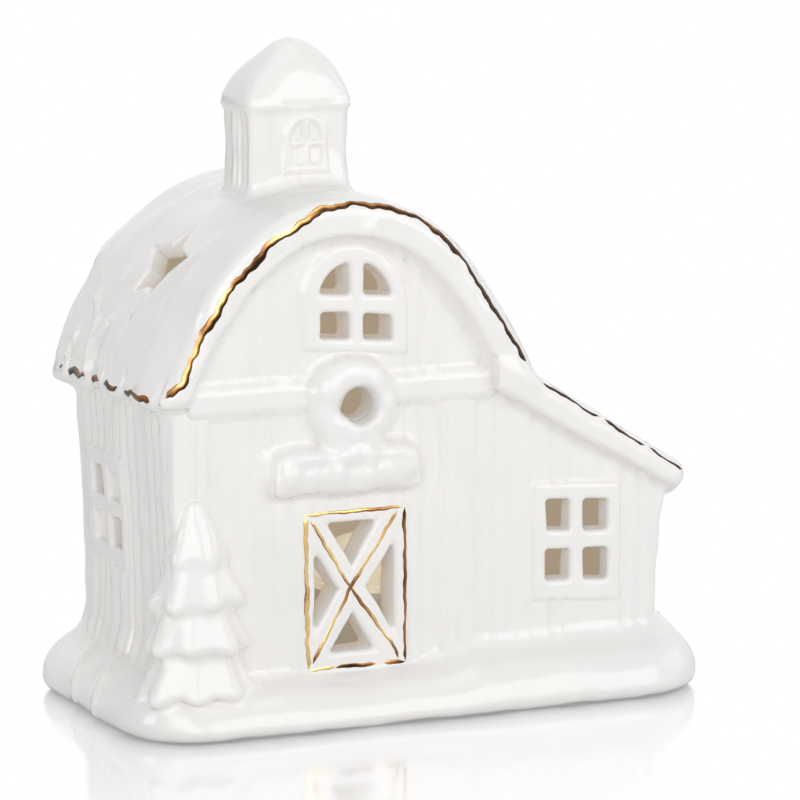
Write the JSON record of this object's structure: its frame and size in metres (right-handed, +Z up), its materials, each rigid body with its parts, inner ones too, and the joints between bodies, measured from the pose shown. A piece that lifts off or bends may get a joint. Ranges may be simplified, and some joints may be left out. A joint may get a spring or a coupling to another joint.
{
  "type": "porcelain village house",
  "caption": "Glazed white porcelain barn with a cupola, lean-to, pierced door and windows, gold lines and a pull-out battery light in its snowy base.",
  "frame": {"origin": "under the middle of the base, on the surface that the foot pads stand on", "axes": "+X along the front to the right, -Y out of the front, +Z up"},
  "size_m": [0.1434, 0.0814, 0.1507],
  "materials": {
    "porcelain": "high gloss glaze",
    "gold_lustre": "bright lustre",
    "pad_rubber": "soft, slightly cloudy",
    "unit_plastic": "fine moulded grain",
    "seal_silicone": "satin",
    "clear_plastic": "clear, polished",
    "led_resin": "clear resin",
    "board_laminate": "lacquered",
    "cell_steel": "nickel plated",
    "contact_brass": "plated",
    "screw_steel": "zinc plated",
    "switch_black": "satin"
  },
  "bodies": {
    "house": {"snow_base": "porcelain", "foot_pads": "pad_rubber", "front_wall": "porcelain", "back_wall": "porcelain", "left_wall": "porcelain", "right_wall": "porcelain", "main_roof": "porcelain", "lean_to_roof": "porcelain", "cupola_tower": "porcelain", "cupola_cap": "porcelain", "cupola_window": "porcelain", "gable_beam": "porcelain", "corner_posts": "porcelain", "gable_window": "porcelain", "lean_to_window": "porcelain", "side_window": "porcelain", "barn_door": "porcelain", "door_gilding": "gold_lustre", "roof_gilding": "gold_lustre", "wreath": "porcelain", "snow_ledge": "porcelain", "wreath_bow": "porcelain", "pine_tree": "porcelain"},
    "light_unit": {"light_housing": "unit_plastic", "sealing_ring": "seal_silicone", "battery_cells": "cell_steel", "spring_contact": "contact_brass", "plate_contact": "contact_brass", "circuit_board": "board_laminate", "led_bulb": "led_resin", "lamp_dome": "clear_plastic", "switch_body": "switch_black"},
    "battery_cover": {"battery_cover": "unit_plastic"},
    "cover_screw": {"cover_screw": "screw_steel"},
    "switch_knob": {"switch_knob": "switch_black"}
  },
  "joints": [
    {"name": "unit_pull", "type": "slide", "parent": "house", "child": "light_unit", "axis": [0, 0, -1], "range_m": [0, 0.045]},
    {"name": "switch_slide", "type": "slide", "parent": "light_unit", "child": "switch_knob", "axis": [1, 0, 0], "range_m": [0, 0.0024]},
    {"name": "cover_lift", "type": "slide", "parent": "light_unit", "child": "battery_cover", "axis": [0, 0, -1], "range_m": [0, 0.012]},
    {"name": "screw_turn", "type": "hinge", "parent": "battery_cover", "child": "cover_screw", "pos_m": [0.01245, -0.0046, 0.002], "axis": [0, 0, 1], "continuous": true}
  ]
}
